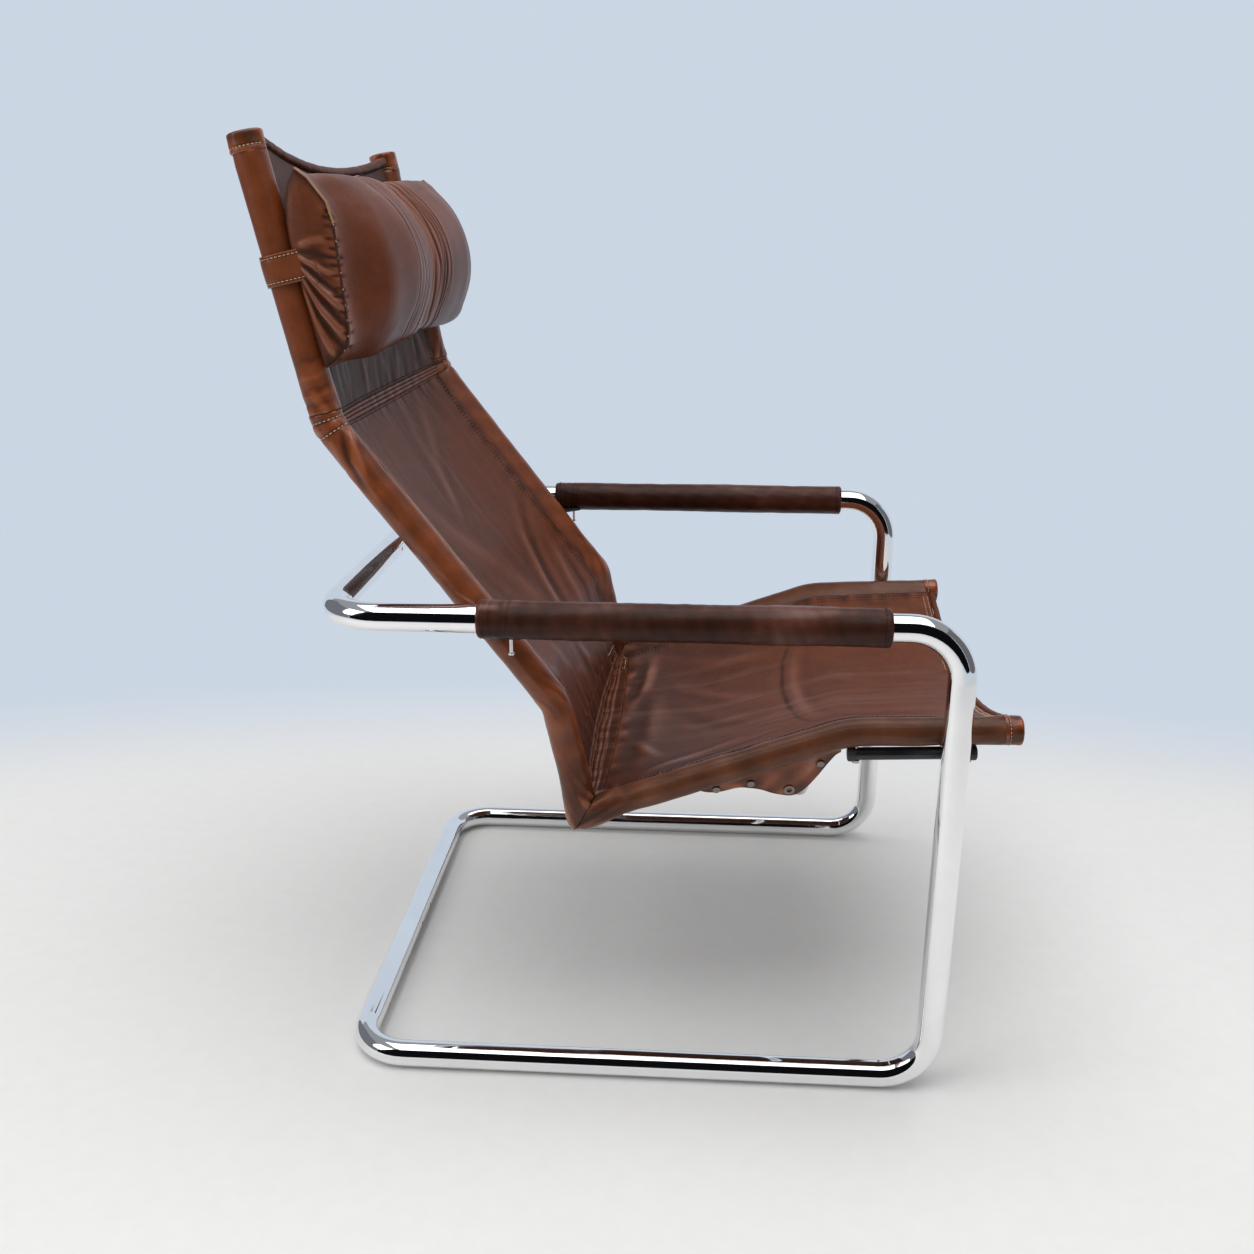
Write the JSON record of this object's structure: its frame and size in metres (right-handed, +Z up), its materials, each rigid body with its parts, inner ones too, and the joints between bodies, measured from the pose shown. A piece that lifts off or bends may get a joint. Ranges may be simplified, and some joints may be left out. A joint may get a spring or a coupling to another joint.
{
  "type": "cantilever lounge chair",
  "caption": "Cantilever lounge chair: bent chrome tube frame, leather sling on bent rails, padded arms and a sliding headrest cushion.",
  "frame": {"origin": "on the floor, under the middle of the chair's length and width", "axes": "+X points forward, the way the sitter faces; +Y to the sitter's left; +Z up"},
  "size_m": [0.811, 0.6566, 1.0321],
  "materials": {
    "chrome": "mirror-bright chrome plate",
    "steel": "zinc plated",
    "pin_steel": "bright nickel",
    "rail_steel": "black enamel",
    "black_paint": "semi-gloss black",
    "black_plastic": "moulded black",
    "insert_brass": "plain",
    "rail_leather": "saddle brown, polished",
    "sling_leather": "reddish brown, satin",
    "arm_leather": "dark brown, satin",
    "arm_foam": "soft foam",
    "stud_metal": "bright nickel",
    "headrest_leather": "chestnut brown, satin",
    "filling": "loose fibre",
    "elastic": "woven elastic"
  },
  "bodies": {
    "chair": {"arm_cover_left": "arm_leather", "arm_cover_right": "arm_leather", "arm_joint_spigot": "steel", "arm_padding_left": "arm_foam", "arm_padding_right": "arm_foam", "back_rail_left": "rail_steel", "back_rail_right": "rail_steel", "base_joint_spigot": "steel", "carrier_bar_left": "black_paint", "carrier_bar_right": "black_paint", "carrier_bolts": "steel", "carrier_cap_front_left": "black_plastic", "carrier_cap_front_right": "black_plastic", "carrier_cap_rear_left": "black_plastic", "carrier_cap_rear_right": "black_plastic", "carrier_inserts": "insert_brass", "carrier_screws": "steel", "carrier_spacer_left": "black_paint", "carrier_spacer_right": "black_paint", "crease_strip": "sling_leather", "flap_eyelets": "stud_metal", "frame_tube_left": "chrome", "frame_tube_right": "chrome", "front_cap_left": "rail_leather", "front_cap_right": "rail_leather", "front_hem": "sling_leather", "front_plug_left": "black_plastic", "front_plug_right": "black_plastic", "joint_screws": "steel", "lower_back_panel": "sling_leather", "lower_sleeve_left": "rail_leather", "lower_sleeve_right": "rail_leather", "lumbar_seam_strip": "sling_leather", "press_studs": "stud_metal", "rear_bracket_left": "black_paint", "rear_bracket_right": "black_paint", "rear_lock_pin_left": "pin_steel", "rear_lock_pin_right": "pin_steel", "seat_cross_tube": "chrome", "seat_panel": "sling_leather", "seat_rail_left": "rail_steel", "seat_rail_right": "rail_steel", "seat_sleeve_left": "rail_leather", "seat_sleeve_right": "rail_leather", "top_cap_left": "rail_leather", "top_cap_right": "rail_leather", "top_hem": "sling_leather", "top_plug_left": "black_plastic", "top_plug_right": "black_plastic", "under_flap_left": "rail_leather", "under_flap_right": "rail_leather", "upper_back_panel": "sling_leather", "upper_sleeve_left": "rail_leather", "upper_sleeve_right": "rail_leather"},
    "headrest": {"headrest_back_band": "elastic", "headrest_cover": "headrest_leather", "headrest_filling": "filling", "headrest_strap_left": "headrest_leather", "headrest_strap_right": "headrest_leather"}
  },
  "joints": [
    {"name": "headrest_slide", "type": "slide", "parent": "chair", "child": "headrest", "axis": [-0.2182, 0, 0.9759], "range_m": [-0.04, 0.08]}
  ]
}
